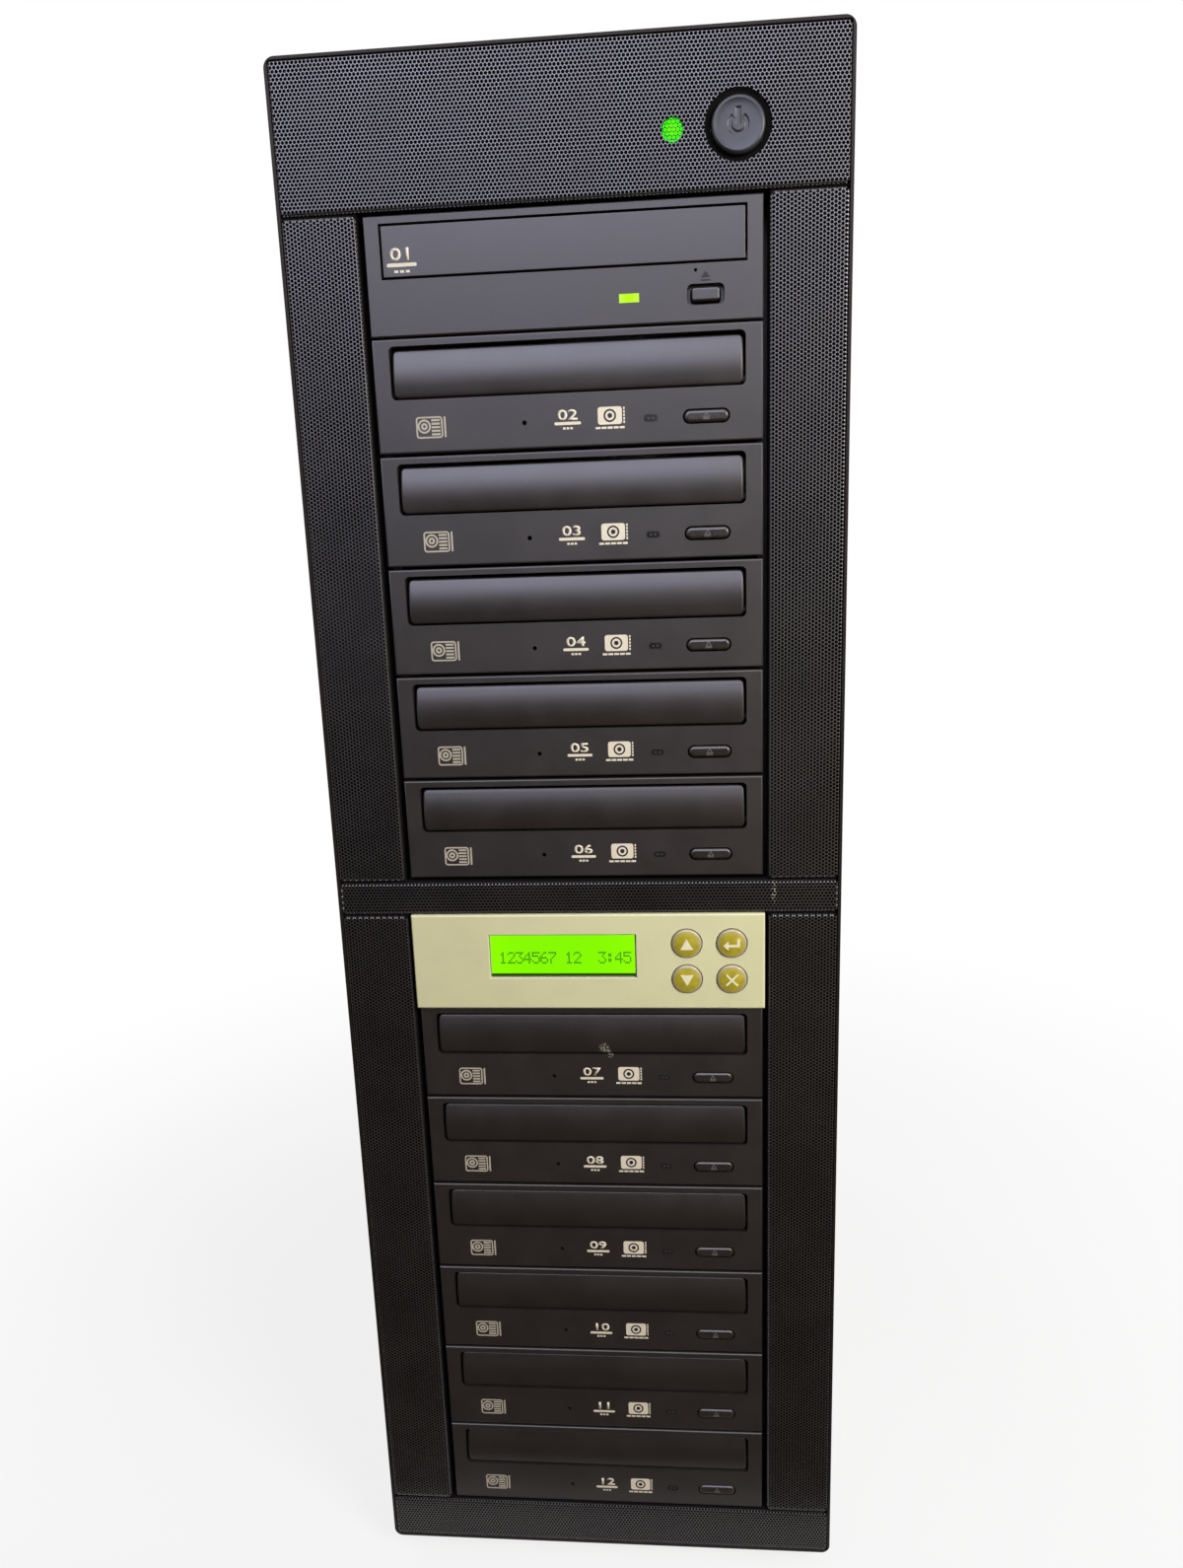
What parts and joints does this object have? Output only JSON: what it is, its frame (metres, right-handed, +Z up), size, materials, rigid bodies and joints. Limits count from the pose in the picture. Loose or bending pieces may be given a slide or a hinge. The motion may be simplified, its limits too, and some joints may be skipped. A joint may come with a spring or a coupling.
{
  "type": "disc duplicator tower",
  "caption": "Tall disc duplicator: sliding disc trays stacked behind a perforated steel front, with a display and key panel, power button, rear fans and supply.",
  "frame": {"origin": "on the surface the tower stands on, at the middle of its outline", "axes": "+X to the right seen from the front, +Y into the case, +Z up; the front faces -Y"},
  "size_m": [0.212, 0.387, 0.6619],
  "materials": {
    "frame_plastic": "fine moulded texture, satin black",
    "mesh_steel": "satin black paint on perforated sheet",
    "power_lens": "lit green light pipe",
    "reader_lens": "lit yellow-green light pipe",
    "smoked_lens": "unlit smoked light pipe",
    "circuit_board": "green solder mask",
    "drive_plastic": "fine spark-eroded black plastic",
    "button_plastic": "smooth dark grey plastic",
    "zinc_steel": "zinc-plated sheet",
    "inner_plastic": "dark grey moulded plastic",
    "mechanism": "pressed and turned metal",
    "cream_plastic": "cream satin plastic",
    "display_glass": "backlit green display",
    "key_rubber": "olive yellow domed keys",
    "case_paint": "black powder coat",
    "inlet_plastic": "black plastic",
    "fan_plastic": "black plastic",
    "foot_rubber": "black rubber",
    "screw_steel": "zinc-plated screws"
  },
  "bodies": {
    "tower": {"front_frame": "frame_plastic", "mesh_top": "mesh_steel", "mesh_columns": "mesh_steel", "mesh_bars": "mesh_steel", "power_light": "power_lens", "power_board": "circuit_board", "reader_bezel": "drive_plastic", "burner_bezels": "drive_plastic", "reader_light": "reader_lens", "burner_lights": "smoked_lens", "drive_covers": "zinc_steel", "drive_chassis": "inner_plastic", "disc_mechanisms": "mechanism", "controller_faceplate": "cream_plastic", "lcd_module": "display_glass", "controller_board": "circuit_board", "left_side_panel": "case_paint", "right_side_panel": "case_paint", "top_panel": "case_paint", "base_pan": "case_paint", "rear_panel": "case_paint", "drive_cage": "case_paint", "power_supply": "zinc_steel", "mains_inlet": "inlet_plastic", "case_fans": "fan_plastic", "feet": "foot_rubber", "case_screws": "screw_steel"},
    "tray_01": {"tray_01": "drive_plastic"},
    "tray_02": {"tray_02": "drive_plastic"},
    "tray_03": {"tray_03": "drive_plastic"},
    "tray_04": {"tray_04": "drive_plastic"},
    "tray_05": {"tray_05": "drive_plastic"},
    "tray_06": {"tray_06": "drive_plastic"},
    "tray_07": {"tray_07": "drive_plastic"},
    "tray_08": {"tray_08": "drive_plastic"},
    "tray_09": {"tray_09": "drive_plastic"},
    "tray_10": {"tray_10": "drive_plastic"},
    "tray_11": {"tray_11": "drive_plastic"},
    "tray_12": {"tray_12": "drive_plastic"},
    "eject_button_01": {"eject_button_01": "button_plastic"},
    "eject_button_02": {"eject_button_02": "button_plastic"},
    "eject_button_03": {"eject_button_03": "button_plastic"},
    "eject_button_04": {"eject_button_04": "button_plastic"},
    "eject_button_05": {"eject_button_05": "button_plastic"},
    "eject_button_06": {"eject_button_06": "button_plastic"},
    "eject_button_07": {"eject_button_07": "button_plastic"},
    "eject_button_08": {"eject_button_08": "button_plastic"},
    "eject_button_09": {"eject_button_09": "button_plastic"},
    "eject_button_10": {"eject_button_10": "button_plastic"},
    "eject_button_11": {"eject_button_11": "button_plastic"},
    "eject_button_12": {"eject_button_12": "button_plastic"},
    "key_up": {"key_up": "key_rubber"},
    "key_down": {"key_down": "key_rubber"},
    "key_enter": {"key_enter": "key_rubber"},
    "key_escape": {"key_escape": "key_rubber"},
    "power_button": {"power_button": "button_plastic"},
    "supply_rocker": {"supply_rocker": "inlet_plastic"},
    "upper_fan_rotor": {"upper_fan_rotor": "fan_plastic"},
    "lower_fan_rotor": {"lower_fan_rotor": "fan_plastic"},
    "supply_fan_rotor": {"supply_fan_rotor": "fan_plastic"}
  },
  "joints": [
    {"name": "tray_01_slide", "type": "slide", "parent": "tower", "child": "tray_01", "axis": [0, -1, 0], "range_m": [0, 0.137]},
    {"name": "tray_02_slide", "type": "slide", "parent": "tower", "child": "tray_02", "axis": [0, -1, 0], "range_m": [0, 0.137]},
    {"name": "tray_03_slide", "type": "slide", "parent": "tower", "child": "tray_03", "axis": [0, -1, 0], "range_m": [0, 0.137]},
    {"name": "tray_04_slide", "type": "slide", "parent": "tower", "child": "tray_04", "axis": [0, -1, 0], "range_m": [0, 0.137]},
    {"name": "tray_05_slide", "type": "slide", "parent": "tower", "child": "tray_05", "axis": [0, -1, 0], "range_m": [0, 0.137]},
    {"name": "tray_06_slide", "type": "slide", "parent": "tower", "child": "tray_06", "axis": [0, -1, 0], "range_m": [0, 0.137]},
    {"name": "tray_07_slide", "type": "slide", "parent": "tower", "child": "tray_07", "axis": [0, -1, 0], "range_m": [0, 0.137]},
    {"name": "tray_08_slide", "type": "slide", "parent": "tower", "child": "tray_08", "axis": [0, -1, 0], "range_m": [0, 0.137]},
    {"name": "tray_09_slide", "type": "slide", "parent": "tower", "child": "tray_09", "axis": [0, -1, 0], "range_m": [0, 0.137]},
    {"name": "tray_10_slide", "type": "slide", "parent": "tower", "child": "tray_10", "axis": [0, -1, 0], "range_m": [0, 0.137]},
    {"name": "tray_11_slide", "type": "slide", "parent": "tower", "child": "tray_11", "axis": [0, -1, 0], "range_m": [0, 0.137]},
    {"name": "tray_12_slide", "type": "slide", "parent": "tower", "child": "tray_12", "axis": [0, -1, 0], "range_m": [0, 0.137]},
    {"name": "eject_01_press", "type": "slide", "parent": "tower", "child": "eject_button_01", "axis": [0, 1, 0], "range_m": [0, 0.001], "stiffness_N_per_m": 300},
    {"name": "eject_02_press", "type": "slide", "parent": "tower", "child": "eject_button_02", "axis": [0, 1, 0], "range_m": [0, 0.001], "stiffness_N_per_m": 300},
    {"name": "eject_03_press", "type": "slide", "parent": "tower", "child": "eject_button_03", "axis": [0, 1, 0], "range_m": [0, 0.001], "stiffness_N_per_m": 300},
    {"name": "eject_04_press", "type": "slide", "parent": "tower", "child": "eject_button_04", "axis": [0, 1, 0], "range_m": [0, 0.001], "stiffness_N_per_m": 300},
    {"name": "eject_05_press", "type": "slide", "parent": "tower", "child": "eject_button_05", "axis": [0, 1, 0], "range_m": [0, 0.001], "stiffness_N_per_m": 300},
    {"name": "eject_06_press", "type": "slide", "parent": "tower", "child": "eject_button_06", "axis": [0, 1, 0], "range_m": [0, 0.001], "stiffness_N_per_m": 300},
    {"name": "eject_07_press", "type": "slide", "parent": "tower", "child": "eject_button_07", "axis": [0, 1, 0], "range_m": [0, 0.001], "stiffness_N_per_m": 300},
    {"name": "eject_08_press", "type": "slide", "parent": "tower", "child": "eject_button_08", "axis": [0, 1, 0], "range_m": [0, 0.001], "stiffness_N_per_m": 300},
    {"name": "eject_09_press", "type": "slide", "parent": "tower", "child": "eject_button_09", "axis": [0, 1, 0], "range_m": [0, 0.001], "stiffness_N_per_m": 300},
    {"name": "eject_10_press", "type": "slide", "parent": "tower", "child": "eject_button_10", "axis": [0, 1, 0], "range_m": [0, 0.001], "stiffness_N_per_m": 300},
    {"name": "eject_11_press", "type": "slide", "parent": "tower", "child": "eject_button_11", "axis": [0, 1, 0], "range_m": [0, 0.001], "stiffness_N_per_m": 300},
    {"name": "eject_12_press", "type": "slide", "parent": "tower", "child": "eject_button_12", "axis": [0, 1, 0], "range_m": [0, 0.001], "stiffness_N_per_m": 300},
    {"name": "key_up_press", "type": "slide", "parent": "tower", "child": "key_up", "axis": [0, 1, 0], "range_m": [0, 0.001], "stiffness_N_per_m": 400},
    {"name": "key_down_press", "type": "slide", "parent": "tower", "child": "key_down", "axis": [0, 1, 0], "range_m": [0, 0.001], "stiffness_N_per_m": 400},
    {"name": "key_enter_press", "type": "slide", "parent": "tower", "child": "key_enter", "axis": [0, 1, 0], "range_m": [0, 0.001], "stiffness_N_per_m": 400},
    {"name": "key_escape_press", "type": "slide", "parent": "tower", "child": "key_escape", "axis": [0, 1, 0], "range_m": [0, 0.001], "stiffness_N_per_m": 400},
    {"name": "power_press", "type": "slide", "parent": "tower", "child": "power_button", "axis": [0, 1, 0], "range_m": [0, 0.0015], "stiffness_N_per_m": 500},
    {"name": "supply_rocker_tip", "type": "hinge", "parent": "tower", "child": "supply_rocker", "pos_m": [0.044, 0.1835, 0.071], "axis": [1, 0, 0], "range_deg": [-16, 0]},
    {"name": "upper_fan_rotor_spin", "type": "hinge", "parent": "tower", "child": "upper_fan_rotor", "pos_m": [0, 0.1735, 0.52], "axis": [0, 1, 0], "continuous": true},
    {"name": "lower_fan_rotor_spin", "type": "hinge", "parent": "tower", "child": "lower_fan_rotor", "pos_m": [0, 0.1735, 0.33], "axis": [0, 1, 0], "continuous": true},
    {"name": "supply_fan_rotor_spin", "type": "hinge", "parent": "tower", "child": "supply_fan_rotor", "pos_m": [-0.031, 0.1725, 0.054], "axis": [0, 1, 0], "continuous": true}
  ]
}
